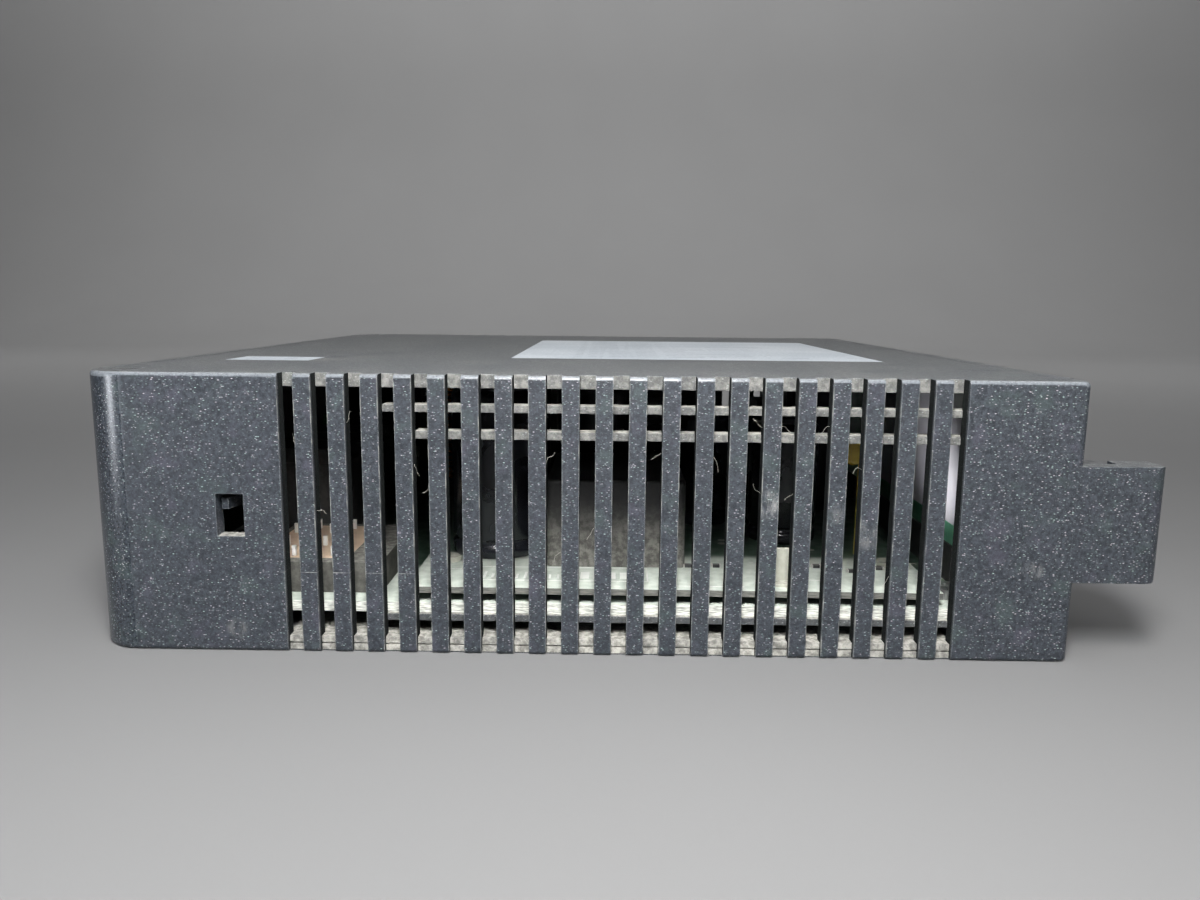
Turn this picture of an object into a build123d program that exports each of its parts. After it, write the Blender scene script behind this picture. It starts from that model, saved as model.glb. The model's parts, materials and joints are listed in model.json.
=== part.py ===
from build123d import *

import os

# Slim rail-mounted power supply, lying on its side. Millimetres.
# +X runs from the front face to the rail side, +Y from the near end to the far end, and +Z up
# through the thin side. The origin is at the middle of the whole box, on the surface it lies on.

# Whole object
depth = 147.5
thickness = 42.2
height = 156.0
foot_reach = 12.5
front_overhang = 2.5

front = -(depth + foot_reach) / 2
datum = front + front_overhang
back = front + depth
foot_tip = back + foot_reach
near = -height / 2
far = height / 2
middle = thickness / 2

# Casing
wall = 2.6
front_return = 8.0
back_return = 6.0
front_corner = 7.3
seam = 0.15
floor_skin = 2.3
roof_skin = 2.1
roof = thickness - roof_skin
edge_round = 0.7

# Ventilated ends
slot_count = 21
slot_width = 2.32
slot_pitch = 4.88
first_slot = 27.61
last_slot = first_slot + (slot_count - 1) * slot_pitch + slot_width
rail_x = (datum + first_slot - 2.0, datum + last_slot + 2.0)
rail_top = 0.7

# Boards
board = 1.6
board_bottom = 5.45
board_top = board_bottom + board
upper_bottom = 8.5
upper_top = 9.5
board_near = 3.2

# Rail clamp, for a 35 mm top-hat rail with flanges 1 mm thick
rail_half = 17.5
saddle = 5.0
seat = back + saddle
lip_bottom = seat + 1.2
lip_top = seat + 2.8
latch_half = 6.0

# Terminal strip
pole_count = 5
pole_pitch = 11.0
first_pole = near + 40.0
strip_x = (datum + 11.5, datum + 27.5)
strip_top = 23.0
screw_height = 15.0
cage_travel = 2.1

# Door
door_y = (-46.0, 17.0)
door_middle = sum(door_y) / 2
hinge_x = front + 1.8
hinge_z = 34.6
barrel_radius = 1.5
pivot_radius = 1.0

post_places = [(datum + 8.0, 64.0), (datum + 8.0, -64.0), (back - 5.9, 66.0), (back - 5.9, -66.0)]
standoff_places = [(datum + 15.0, 68.0), (datum + 15.0, -68.0), (datum + 130.0, 68.0), (datum + 130.0, -68.0)]
spacer_places = [(datum + 49.0, -60.0), (datum + 123.0, -60.0), (datum + 49.0, 31.0), (datum + 123.0, 31.0)]
saddle_screw_places = [(22.5, 11.1), (22.5, 31.1), (-8.0, 11.1), (-8.0, 31.1)]
foot_z = (12.4, 29.9)
foot_plate = 2.6
label_depth = 0.12


def across(start, end):
    """A span in X, given from the datum behind the front corners."""
    return (datum + start, datum + end)


def along(start, end):
    """A span in Y, given from the near end."""
    return (near + start, near + end)


def around(centre, half):
    """A span to both sides of a centre."""
    return (centre - half, centre + half)


def slab(x, y, z, mode=Mode.ADD):
    """Adds or cuts a box, given by its three spans, in the part being built."""
    with BuildSketch(Plane.XY.offset(z[0])) as outline:
        with Locations(((x[0] + x[1]) / 2, (y[0] + y[1]) / 2)):
            Rectangle(x[1] - x[0], y[1] - y[0])
    extrude(outline.sketch, amount=z[1] - z[0], mode=mode)


def rounded_slab(x, y, z, radius, mode=Mode.ADD):
    """A box whose four upright edges are rounded."""
    with BuildSketch(Plane.XY.offset(z[0])) as outline:
        with Locations(((x[0] + x[1]) / 2, (y[0] + y[1]) / 2)):
            RectangleRounded(x[1] - x[0], y[1] - y[0], radius)
    extrude(outline.sketch, amount=z[1] - z[0], mode=mode)


def rod(start, direction, radius, length, mode=Mode.ADD):
    """A round bar, or a hole, from a start point along a direction."""
    with BuildSketch(Plane(origin=start, z_dir=direction)) as section:
        Circle(radius)
    extrude(section.sketch, amount=length, mode=mode)


def plan_shape(points, z, mode=Mode.ADD):
    """A closed outline in plan, raised through a span in Z."""
    with BuildSketch(Plane.XY.offset(z[0])) as outline:
        with BuildLine():
            Polyline(*points, close=True)
        make_face()
    extrude(outline.sketch, amount=z[1] - z[0], mode=mode)


def save(piece, name):
    """Labels a finished piece and writes it as its own file."""
    piece.part.label = name
    export_step(piece.part, f"parts/{name}.step")


os.makedirs("parts", exist_ok=True)

# ---------------------------------------------------------------- ventilated ends

# Foot that stands out behind the case: the end's own wall, carried on, with a thicker rounded rim
foot_x = (back - 1.0, foot_tip)
rim_x = (foot_tip - 6.6, foot_tip)
rim_depth = 5.4
with BuildPart() as foot:
    with BuildSketch(Plane.XY.offset(foot_z[0])) as foot_plan:
        with Locations((sum(foot_x) / 2, near + foot_plate / 2)):
            Rectangle(foot_x[1] - foot_x[0], foot_plate)
        with Locations((sum(rim_x) / 2, near + rim_depth / 2)):
            Rectangle(rim_x[1] - rim_x[0], rim_depth)
        fillet(foot_plan.vertices().sort_by_distance((foot_tip, near))[0], radius=2.5)
        fillet(foot_plan.vertices().sort_by_distance((foot_tip, near + rim_depth))[0], radius=1.6)
    extrude(amount=foot_z[1] - foot_z[0])
    with BuildSketch(Plane.XZ.offset(-near)) as foot_face:
        with Locations((sum(foot_x) / 2, sum(foot_z) / 2)):
            Rectangle(foot_x[1] - foot_x[0], foot_z[1] - foot_z[0])
        lower_corner = foot_face.vertices().sort_by_distance((foot_tip, foot_z[0], 0))[0]
        fillet(lower_corner, radius=1.2)
        upper_corner = foot_face.vertices().sort_by_distance((foot_tip, foot_z[1], 0))[0]
        fillet(upper_corner, radius=0.8)
    extrude(foot_face.sketch, amount=-rim_depth, mode=Mode.INTERSECT)

with BuildPart() as grille_near:
    with BuildSketch() as end_plan:
        with BuildLine():
            Polyline(
                (front, near),
                (back, near),
                (back, near + back_return),
                (back - wall, near + back_return),
                (back - wall, near + wall),
                (front + wall, near + wall),
                (front + wall, near + front_return),
                (front, near + front_return),
                close=True,
            )
        make_face()
        fillet(end_plan.vertices().sort_by_distance((front, near))[0], radius=front_corner)
        inner_corner = end_plan.vertices().sort_by_distance((front + wall, near + wall))[0]
        fillet(inner_corner, radius=front_corner - wall)
        fillet(end_plan.vertices().sort_by_distance((back, near))[0], radius=1.2)
    extrude(amount=thickness)
    rims = grille_near.faces().filter_by(Axis.Z).edges()
    outer_rims = rims.filter_by(lambda e: e.center().Y < near + 1.6 or e.center().X < front + 0.01)
    fillet(outer_rims, radius=edge_round)
    with BuildSketch() as slots:
        with Locations((datum + (first_slot + last_slot) / 2, near + wall / 2)):
            with GridLocations(slot_pitch, 1, slot_count, 1):
                Rectangle(slot_width, wall + 1)
    extrude(slots.sketch, amount=thickness, mode=Mode.SUBTRACT)
    # A rail hidden behind the lower cover's teeth joins every slat and both panels in one piece.
    slab(rail_x, along(1.6, wall), (0, rail_top))
    # Two cross bars tie the slats near the top, and a ledge near the bottom carries the board.
    slab(across(42.3, 129.5), along(wall - 0.2, 5.3), (36.5, 37.6))
    slab(across(47.1, 129.5), along(wall - 0.2, 5.3), (32.5, 33.7))
    slab(across(41.0, 129.5), along(wall - 0.2, 6.0), (4.4, board_bottom))
    # Window for the front bezel's snap arm
    slab(across(17.8, 21.9), along(-1, wall + 0.5), (17.9, 24.3), Mode.SUBTRACT)
    add(foot.part)
save(grille_near, "grille_near")

with BuildPart() as grille_far:
    mirror(grille_near.part, about=Plane.XZ)
save(grille_far, "grille_far")

# ---------------------------------------------------------------- side covers

cover_x = (front + wall + seam, back - wall - seam)
cover_y = (near + wall + 0.1, far - wall - 0.1)
rating_x = across(57.0, 127.0)
rating_y = along(41.0, 120.0)
edge_label_x = across(8.5, 23.0)
edge_label_y = along(28.3, 38.0)
label_z = (thickness - label_depth, thickness)


def cover_skin(z):
    """A cover's flat skin, with round corners inside the two front corners of the case."""
    with BuildSketch(Plane.XY.offset(z[0])) as outline:
        with Locations((sum(cover_x) / 2, sum(cover_y) / 2)):
            Rectangle(cover_x[1] - cover_x[0], cover_y[1] - cover_y[0])
        fillet(outline.vertices().group_by(Axis.X)[0], radius=front_corner - wall + 0.1)
    extrude(outline.sketch, amount=z[1] - z[0])


with BuildPart() as cover_lower:
    cover_skin((0, floor_skin))
    # Teeth that close the foot of each slot, in two layers with a fine groove between them
    for side in (-1, 1):
        with BuildSketch() as teeth:
            with Locations((datum + (first_slot + last_slot) / 2, side * (far - 1.8))):
                with GridLocations(slot_pitch, 1, slot_count, 1):
                    Rectangle(slot_width - 0.1, 2.0)
        extrude(teeth.sketch, amount=floor_skin)
        groove_y = sorted((side * (far - 0.5), side * (far - 1.4)))
        slab(across(20, 135), groove_y, (1.1, 1.3), Mode.SUBTRACT)
        channel_y = sorted((side * (far - 1.5), side * (far - wall - 0.2)))
        slab(rail_x, channel_y, (0, rail_top + 0.1), Mode.SUBTRACT)
    with Locations(*[(x, y, floor_skin) for x, y in standoff_places]):
        Cylinder(3.0, board_bottom - floor_skin, align=(Align.CENTER, Align.CENTER, Align.MIN))
    with Locations(*[(x, y, board_bottom) for x, y in standoff_places]):
        Hole(1.25, depth=board_bottom - 1.2)
    with Locations(Plane.XY.rotated((180, 0, 0))):
        with Locations(*[(x, -y, 0) for x, y in post_places]):
            CounterSinkHole(1.6, 2.9, depth=floor_skin, counter_sink_angle=90)
save(cover_lower, "cover_lower")

with BuildPart() as cover_upper:
    cover_skin((roof, thickness))
    for x, y in post_places:
        rod((x, y, floor_skin), (0, 0, 1), 2.8, roof - floor_skin + 0.5)
        rod((x, y, floor_skin), (0, 0, 1), 1.3, 12, Mode.SUBTRACT)
    slab(rating_x, rating_y, label_z, Mode.SUBTRACT)
    slab(edge_label_x, edge_label_y, label_z, Mode.SUBTRACT)
    # Small moulded mark beside the rail side
    slab(across(133.0, 140.5), along(21.6, 22.0), (thickness - 0.5, thickness), Mode.SUBTRACT)
save(cover_upper, "cover_upper")

with BuildPart() as rating_label:
    rounded_slab(around(sum(rating_x) / 2, 34.9), around(sum(rating_y) / 2, 39.4), label_z, 1.0)
save(rating_label, "rating_label")

with BuildPart() as edge_label:
    slab(edge_label_x, edge_label_y, label_z)
save(edge_label, "edge_label")

# ---------------------------------------------------------------- back wall

socket_y = (30.0, 54.0)
socket_z = (12.0, 30.0)
peg_y = (-46.0, -43.0)
guide_y = (-58.0, -31.0)

with BuildPart() as back_wall:
    slab((back - wall, back), (near + back_return, far - back_return), (0, thickness))
    slab((back - wall - 1, back + 1), socket_y, socket_z, Mode.SUBTRACT)
    slab((back - 0.5, back + 3.5), peg_y, around(middle, 1.9))
    for side in (-1, 1):
        rail_z = sorted((middle + side * (latch_half + 0.2), middle + side * (latch_half + 2.0)))
        lip_z = sorted((middle + side * (latch_half - 1.4), middle + side * (latch_half + 2.0)))
        slab((back - 0.5, back + 2.8), guide_y, rail_z)
        slab((back + 2.7, back + 3.7), guide_y, lip_z)
    for y, z in saddle_screw_places:
        rod((back + 1, y, z), (-1, 0, 0), 1.3, wall + 2, Mode.SUBTRACT)
save(back_wall, "back_wall")

# ---------------------------------------------------------------- front bezel and door

light_place = (30.0, middle)
trimmer_place = (49.0, 12.0)

with BuildPart() as front_bezel:
    slab((front, front + wall), (near + front_return, far - front_return), (0, thickness))
    outside = front_bezel.faces().sort_by(Axis.X)[0].edges().filter_by(Axis.Y)
    fillet(outside, radius=edge_round)
    slab((front - 1, front + wall + 1), (door_y[0] - 0.3, door_y[1] + 0.3), (5.7, 36.8), Mode.SUBTRACT)
    for side, y in ((-1, door_y[0] - 0.3), (1, door_y[1] + 0.3)):
        slab((front + wall - 0.2, front + wall + 1.8), sorted((y, y + side * 2.7)), (32.6, 36.8))
        rod((hinge_x, y, hinge_z), (0, side, 0), pivot_radius + 0.07, 1.9, Mode.SUBTRACT)
    # Snap arms that reach back inside both ends, each with a nose in the end's window
    for side in (-1, 1):
        arm = [(-0.1, 12.0), (-0.1, 8.2), (0.3, 8.2), (0.3, 7.4), (5.2, 2.8), (25.0, 2.8)]
        arm += [(25.0, 4.4), (6.2, 4.4), (2.0, 8.4), (2.0, 12.0)]
        nose = [(16.4, 4.4), (16.4, 2.9), (18.1, 2.9), (18.1, 1.4), (19.1, 1.4), (20.0, 4.4)]
        plan_shape([(datum + x, side * (far - y)) for x, y in arm], (16.0, 26.2))
        slab(across(17.0, 23.2), sorted((side * (far - 5), side * (far - 2))), (17.2, 25.0), Mode.SUBTRACT)
        plan_shape([(datum + x, side * (far - y)) for x, y in nose], (21.7, 23.4))
    rod((front - 1, *light_place), (1, 0, 0), 1.7, wall + 2, Mode.SUBTRACT)
    rod((front - 1, *trimmer_place), (1, 0, 0), 2.4, wall + 2, Mode.SUBTRACT)
save(front_bezel, "front_bezel")

with BuildPart() as terminal_door:
    slab((front + 0.2, front + 1.9), door_y, (6.0, hinge_z - 2.6))
    slab((front + 1.0, front + 1.9), door_y, (hinge_z - 2.8, hinge_z))
    rod((hinge_x, door_y[0], hinge_z), (0, 1, 0), barrel_radius, door_y[1] - door_y[0])
    rod((hinge_x, door_y[0] - 1.8, hinge_z), (0, 1, 0), pivot_radius, door_y[1] - door_y[0] + 3.6)
    # Finger scoop along the free edge, and stiffening ribs inside
    slab((front, front + 1.0), around(door_middle, 9.5), (5.0, 8.0), Mode.SUBTRACT)
    for y in (door_middle - 27.5, door_middle, door_middle + 27.5):
        slab((front + 1.8, front + 3.2), around(y, 0.6), (8.0, hinge_z - 4.0))
save(terminal_door, "terminal_door")

# ---------------------------------------------------------------- rail clamp

with BuildPart() as rail_saddle:
    slab((back, seat), (-29.0, 26.0), around(middle, 15.0))
    channel_z = around(middle, latch_half + 0.2)
    slab((back - 1, back + 2.75), (-30.0, -11.0), channel_z, Mode.SUBTRACT)
    slab((back - 1, seat + 1), (-25.0, -13.0), channel_z, Mode.SUBTRACT)
    hook = [(seat - 1, rail_half + 0.2), (lip_bottom, rail_half + 0.2), (lip_bottom, 14.5)]
    hook += [(lip_top - 0.6, 14.5), (lip_top, 17.0), (lip_top, 21.0), (seat - 1, 21.0)]
    plan_shape(hook, around(middle, 15.0))
    for y, z in saddle_screw_places:
        rod((back - 1, y, z), (1, 0, 0), 1.7, saddle + 2, Mode.SUBTRACT)
        rod((seat - 2.0, y, z), (1, 0, 0), 3.1, 6, Mode.SUBTRACT)
save(rail_saddle, "rail_saddle")

bar_x = (back + 0.15, back + 2.55)
window_y = (-50.0, -32.0)
grip_y = (-68.5, -62.5)

with BuildPart() as rail_latch:
    slab(bar_x, (-66.0, -14.0), around(middle, latch_half))
    slab(bar_x, window_y, around(middle, 2.3), Mode.SUBTRACT)
    claw = [(bar_x[1] - 0.5, -21.0), (lip_top - 0.6, -21.0), (lip_top, -20.4), (lip_top, -19.6)]
    claw += [(lip_bottom + 0.5, -15.5), (lip_bottom, -15.5), (lip_bottom, -17.8), (bar_x[1] - 0.5, -17.8)]
    plan_shape(claw, around(middle, latch_half - 0.5))
    slab((bar_x[0], back + 8.0), (-66.0, -63.5), around(middle, latch_half))
    with BuildSketch(Plane.XZ.offset(-grip_y[0])) as grip:
        with Locations((back + 8.9, middle)):
            RectangleRounded(5.6, 14.4, 2.0)
    extrude(grip.sketch, amount=grip_y[0] - grip_y[1])
save(rail_latch, "rail_latch")

spring_wire = 0.25
spring_axis_x = back + 2.1
with BuildPart() as latch_spring:
    spring_start = peg_y[1] + 0.3
    spring_length = window_y[1] - 0.3 - spring_start
    coil = Helix(1.48, spring_length, 1.4, center=(spring_axis_x, spring_start, middle), direction=(0, 1, 0))
    with BuildSketch(Plane(origin=coil @ 0, z_dir=coil % 0)) as wire_section:
        Circle(spring_wire)
    sweep(wire_section.sketch, path=coil)
save(latch_spring, "latch_spring")

# ---------------------------------------------------------------- screws


def countersunk_screw(start, direction, head, length):
    """A countersunk screw whose head's face is at the start point."""
    cone_height = 1.5
    plane = Plane(origin=start, z_dir=direction)
    with BuildSketch(plane) as face:
        Circle(head)
    with BuildSketch(plane.offset(cone_height)) as neck:
        Circle(1.2)
    loft([face.sketch, neck.sketch])
    with BuildSketch(plane.offset(cone_height)) as shank:
        Circle(1.2)
    extrude(shank.sketch, amount=length - cone_height)
    with BuildSketch(plane) as drive:
        Rectangle(2.6, 0.6)
        Rectangle(0.6, 2.6)
    extrude(drive.sketch, amount=0.9, mode=Mode.SUBTRACT)


with BuildPart() as case_screws:
    for x, y in post_places:
        countersunk_screw((x, y, 0.1), (0, 0, 1), 2.7, 9.0)
    for y, z in saddle_screw_places:
        countersunk_screw((seat - 0.4, y, z), (-1, 0, 0), 2.7, saddle + wall - 1.0)
save(case_screws, "case_screws")

with BuildPart() as board_screws:
    for x, y in standoff_places:
        rod((x, y, board_top), (0, 0, 1), 2.6, 1.6)
        rod((x, y, 3.0), (0, 0, 1), 1.2, board_top - 2.5)
        with BuildSketch(Plane.XY.offset(board_top + 0.8)) as cross:
            with Locations((x, y)):
                Rectangle(2.8, 0.6)
                Rectangle(0.6, 2.8)
        extrude(cross.sketch, amount=2, mode=Mode.SUBTRACT)
save(board_screws, "board_screws")

# ---------------------------------------------------------------- boards

board_x = across(11.0, 135.5)
board_y = (near + board_near, far - board_near)
with BuildPart() as main_board:
    slab(board_x, board_y, (board_bottom, board_top))
    with Locations(*[(x, y, board_top) for x, y in standoff_places]):
        Hole(1.6, depth=board)
save(main_board, "main_board")

upper_x = across(45.0, 127.0)
with BuildPart() as upper_board:
    slab(upper_x, along(board_near, 112.0), (upper_bottom, upper_top))
    with Locations(*[(x, y, upper_top) for x, y in spacer_places]):
        Hole(1.3, depth=upper_top - upper_bottom)
save(upper_board, "upper_board")

with BuildPart() as board_spacers:
    for x, y in spacer_places:
        rod((x, y, board_top), (0, 0, 1), 2.4, upper_bottom - board_top)
        rod((x, y, board_top), (0, 0, 1), 1.25, upper_top - board_top + 0.3)
        rod((x, y, upper_top), (0, 0, 1), 2.0, 0.8)
save(board_spacers, "board_spacers")

rear_board_x = across(133.0, 134.6)
rear_board_z = (13.4, 38.5)
with BuildPart() as rear_board:
    slab(rear_board_x, along(8.0, 136.0), rear_board_z)
save(rear_board, "rear_board")

with BuildPart() as stacking_header:
    slab(across(132.6, 134.6), along(16.0, 66.0), (board_top, rear_board_z[0]))
    slab(across(132.6, 134.6), along(84.0, 130.0), (board_top, rear_board_z[0]))
save(stacking_header, "stacking_header")

with BuildPart() as rear_shield:
    slab(across(132.2, 133.0), along(9.0, 66.0), (17.3, 39.2))
save(rear_shield, "rear_shield")

with BuildPart() as rear_connector:
    slab((rear_board_x[1], back - 0.2), around(42.0, 11.6), around(21.0, 8.6))
    slab((back - 8.0, back), around(42.0, 10.0), around(21.0, 6.6), Mode.SUBTRACT)
    slab((rear_board_x[1], back - 3.4), around(42.0, 14.0), around(21.0, 7.0))
    slab((back - 8.0, back), around(42.0, 10.0), around(21.0, 6.6), Mode.SUBTRACT)
save(rear_connector, "rear_connector")

with BuildPart() as rear_contacts:
    for index in range(8):
        contact_y = around(42.0 + (index - 3.5) * 2.3, 0.5)
        for z in (14.4, 27.3):
            slab((back - 7.9, back - 1.5), contact_y, (z, z + 0.3))
save(rear_contacts, "rear_contacts")

# Upright earth clip whose lower corner is cut away towards the front of the board
with BuildPart() as board_clip:
    with BuildSketch(Plane.XZ.offset(-near - 7.0)) as clip_face:
        with BuildLine():
            corners = [(99.2, 15.2), (99.2, 12.6), (101.1, 10.4), (101.1, upper_top)]
            corners += [(105.0, upper_top), (105.0, 15.2)]
            Polyline(*[(datum + x, z) for x, z in corners], close=True)
        make_face()
    extrude(clip_face.sketch, amount=-0.8)
    slab(across(100.5, 105.6), along(5.2, 7.4), (upper_top, upper_top + 0.5))
save(board_clip, "board_clip")

# ---------------------------------------------------------------- pin header

pin_half = 0.3
pin_step = 6.3
pin_rows = [(11.4, 25.1, 2), (17.7, 21.9, 2), (26.0, 20.5, 3), (29.2, 23.7, 2)]
pin_places = [
    (datum + first + pin_step * index, near + y) for y, first, count in pin_rows for index in range(count)
]
header_top = 12.0
insert_z = (10.6, header_top - 0.15)

with BuildPart() as header_body:
    slab(across(18.4, 40.1), along(7.3, 32.0), (board_top, header_top))
    slab(across(19.2, 34.3), along(9.5, 31.2), (insert_z[0], header_top), Mode.SUBTRACT)
save(header_body, "header_body")

with BuildPart() as header_insert:
    slab(across(19.25, 34.25), along(9.55, 31.15), insert_z)
    for x, y in pin_places:
        slab(around(x, pin_half), around(y, pin_half), insert_z, Mode.SUBTRACT)
save(header_insert, "header_insert")

with BuildPart() as header_pins:
    for x, y in pin_places:
        slab(around(x, pin_half), around(y, pin_half), (insert_z[0], 13.5))
save(header_pins, "header_pins")

# ---------------------------------------------------------------- components

with BuildPart() as potted_module:
    rounded_slab(across(65.6, 88.5), along(15.0, 43.0), (upper_top, 24.1), 1.0)
    fillet(potted_module.faces().sort_by(Axis.Z)[-1].edges(), radius=0.6)
save(potted_module, "potted_module")


def capacitor(place, radius, bottom, top):
    """An upright can with a rolled groove near its foot and a bevelled top."""
    x, y = place
    with BuildSketch(Plane(origin=(datum + x, near + y, bottom), x_dir=(1, 0, 0), z_dir=(0, -1, 0))) as half:
        with BuildLine():
            tall = top - bottom
            Polyline(
                (0, 0), (radius, 0), (radius, 2.0), (radius - 0.6, 2.7), (radius, 3.4),
                (radius, tall - 0.8), (radius - 0.8, tall), (radius - 1.6, tall),
                (radius - 1.6, tall - 0.4), (0, tall - 0.4), close=True,
            )
        make_face()
    revolve(half.sketch, axis=Axis((datum + x, near + y, bottom), (0, 0, 1)))


with BuildPart() as bulk_capacitors:
    for place in ((56.5, 26.0), (56.5, 43.5), (73.0, 54.5)):
        capacitor(place, 8.0, upper_top, 38.0)
save(bulk_capacitors, "bulk_capacitors")

with BuildPart() as output_capacitors:
    for place in ((108.0, 36.0), (108.0, 49.5), (94.0, 50.0)):
        capacitor(place, 6.25, upper_top, 31.5)
save(output_capacitors, "output_capacitors")

with BuildPart() as disc_capacitor:
    disc_x, disc_y, disc_z = datum + 117.9, near + 25.0, 27.7
    rod((disc_x, disc_y - 1.2, disc_z), (0, 1, 0), 2.3, 2.4)
    fillet(disc_capacitor.edges().filter_by(GeomType.CIRCLE), radius=0.9)
    for lead in (-1.3, 1.3):
        rod((disc_x + lead, disc_y, upper_top), (0, 0, 1), 0.35, disc_z - upper_top - 0.9)
save(disc_capacitor, "disc_capacitor")

with BuildPart() as film_capacitor:
    rounded_slab(across(24.0, 36.0), along(112.0, 138.0), (board_top, 24.0), 0.8)
save(film_capacitor, "film_capacitor")

with BuildPart() as bridge_rectifier:
    slab(across(44.0, 48.6), along(116.0, 138.0), (board_top + 4.0, 30.0))
    for index in range(4):
        slab(around(datum + 46.3, 0.4), around(near + 119.0 + index * 5.3, 0.6), (board_top, board_top + 4.5))
save(bridge_rectifier, "bridge_rectifier")

# Transformer: the coil former stands on two feet and the core passes through it.
coil_z = (15.0, 32.5)
with BuildPart() as transformer_core:
    slab(across(62.0, 98.0), along(75.0, 87.0), (10.5, 37.0))
    for window in (across(67.0, 75.0), across(85.0, 93.0)):
        slab(window, along(74.0, 88.0), coil_z, Mode.SUBTRACT)
save(transformer_core, "transformer_core")

with BuildPart() as transformer_bobbin:
    slab(across(74.0, 86.0), along(74.0, 88.0), coil_z)
    slab(across(67.2, 92.8), along(66.0, 96.0), (coil_z[0] + 0.05, coil_z[0] + 1.2))
    slab(across(67.2, 92.8), along(66.0, 96.0), (coil_z[1] - 1.2, coil_z[1] - 0.05))
    for foot_y in (along(66.0, 72.0), along(90.0, 96.0)):
        slab(across(67.2, 92.8), foot_y, (upper_top, coil_z[0] + 0.5))
    slab(across(74.95, 85.05), along(74.95, 87.05), (upper_top, 40.0), Mode.SUBTRACT)
save(transformer_bobbin, "transformer_bobbin")

with BuildPart() as transformer_winding:
    rounded_slab(across(68.4, 91.6), along(67.4, 94.6), (coil_z[0] + 1.25, coil_z[1] - 1.25), 4.0)
    slab(across(73.95, 86.05), along(73.95, 88.05), coil_z, Mode.SUBTRACT)
save(transformer_winding, "transformer_winding")


def ring_core(centre, axis, ring_radius, section_radius):
    """A whole ring core about an axis through its centre."""
    side = Vector(0, 1, 0)
    plane = Plane(origin=Vector(*centre) + side * ring_radius, z_dir=Vector(*axis).cross(side))
    with BuildSketch(plane) as section:
        Circle(section_radius)
    revolve(section.sketch, axis=Axis(centre, axis))


def ring_winding(centre, axis, ring_radius, inner, outer, starts, sweep_angle):
    """Sleeves of wire around a ring core, each over part of the ring."""
    side = Vector(0, 1, 0)
    for start in starts:
        radial = side.rotate(Axis((0, 0, 0), axis), start)
        plane = Plane(origin=Vector(*centre) + radial * ring_radius, z_dir=Vector(*axis).cross(radial))
        with BuildSketch(plane) as section:
            Circle(outer)
            Circle(inner, mode=Mode.SUBTRACT)
        revolve(section.sketch, axis=Axis(centre, axis), revolution_arc=sweep_angle)


line_choke_centre = (datum + 37.0, near + 92.0, 21.0)
with BuildPart() as line_choke_core:
    ring_core(line_choke_centre, (1, 0, 0), 9.0, 3.4)
save(line_choke_core, "line_choke_core")
with BuildPart() as line_choke_windings:
    ring_winding(line_choke_centre, (1, 0, 0), 9.0, 3.5, 4.5, (-60, 120), 120)
save(line_choke_windings, "line_choke_windings")

output_choke_centre = (datum + 119.0, near + 130.0, 12.0)
with BuildPart() as output_choke_core:
    ring_core(output_choke_centre, (0, 0, 1), 7.5, 3.2)
save(output_choke_core, "output_choke_core")
with BuildPart() as output_choke_winding:
    ring_winding(output_choke_centre, (0, 0, 1), 7.5, 3.3, 4.3, (20,), 320)
save(output_choke_winding, "output_choke_winding")

sink_top = 39.6
with BuildPart() as heat_sink_primary:
    slab(across(56.0, 104.0), along(122.0, 125.0), (board_top, sink_top))
    for index in range(8):
        slab(around(datum + 58.0 + index * 6.28, 0.6), along(124.5, 136.0), (board_top, sink_top))
save(heat_sink_primary, "heat_sink_primary")

with BuildPart() as heat_sink_output:
    slab(across(115.0, 117.5), along(58.0, 106.0), (upper_top, 37.0))
    for index in range(7):
        slab(across(117.0, 124.5), around(near + 60.0 + index * 7.3, 0.6), (upper_top, 37.0))
save(heat_sink_output, "heat_sink_output")

with BuildPart() as power_transistors:
    for x in (68.0, 92.0):
        slab(around(datum + x, 5.0), along(117.6, 122.0), (18.0, 30.0))
        slab(around(datum + x, 5.0), along(120.8, 122.0), (30.0, 36.0))
        for lead in (-2.5, 0.0, 2.5):
            slab(around(datum + x + lead, 0.4), along(119.0, 119.8), (board_top, 18.5))
    for y in (70.0, 90.0):
        slab(across(110.6, 115.0), around(near + y, 5.0), (18.0, 30.0))
        slab(across(113.8, 115.0), around(near + y, 5.0), (30.0, 36.0))
        for lead in (-2.5, 0.0, 2.5):
            slab(across(112.0, 112.8), around(near + y + lead, 0.4), (upper_top, 18.5))
save(power_transistors, "power_transistors")

# ---------------------------------------------------------------- fuse

fuse_x = datum + 19.0
fuse_z = 12.5
with BuildPart() as fuse:
    rod((fuse_x, 14.0, fuse_z), (0, 1, 0), 2.4, 20.0)
    rod((fuse_x, 14.0, fuse_z), (0, 1, 0), 2.6, 5.5)
    rod((fuse_x, 28.5, fuse_z), (0, 1, 0), 2.6, 5.5)
save(fuse, "fuse")

with BuildPart() as fuse_clips:
    for y in (16.5, 31.5):
        slab(around(fuse_x, 3.4), around(y, 2.0), (board_top, fuse_z + 1.0))
        slab(around(fuse_x, 2.0), around(y, 3.0), (fuse_z, fuse_z + 3), Mode.SUBTRACT)
        rod((fuse_x, y - 3, fuse_z), (0, 1, 0), 2.65, 6, Mode.SUBTRACT)
save(fuse_clips, "fuse_clips")

# ---------------------------------------------------------------- status light and trimmer

with BuildPart() as status_light:
    rod((front + 0.2, *light_place), (1, 0, 0), 1.6, front_overhang + 12.1)
    slab(across(12.2, 15.4), around(light_place[0], 1.6), (board_top, middle + 1.6))
save(status_light, "status_light")

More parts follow.
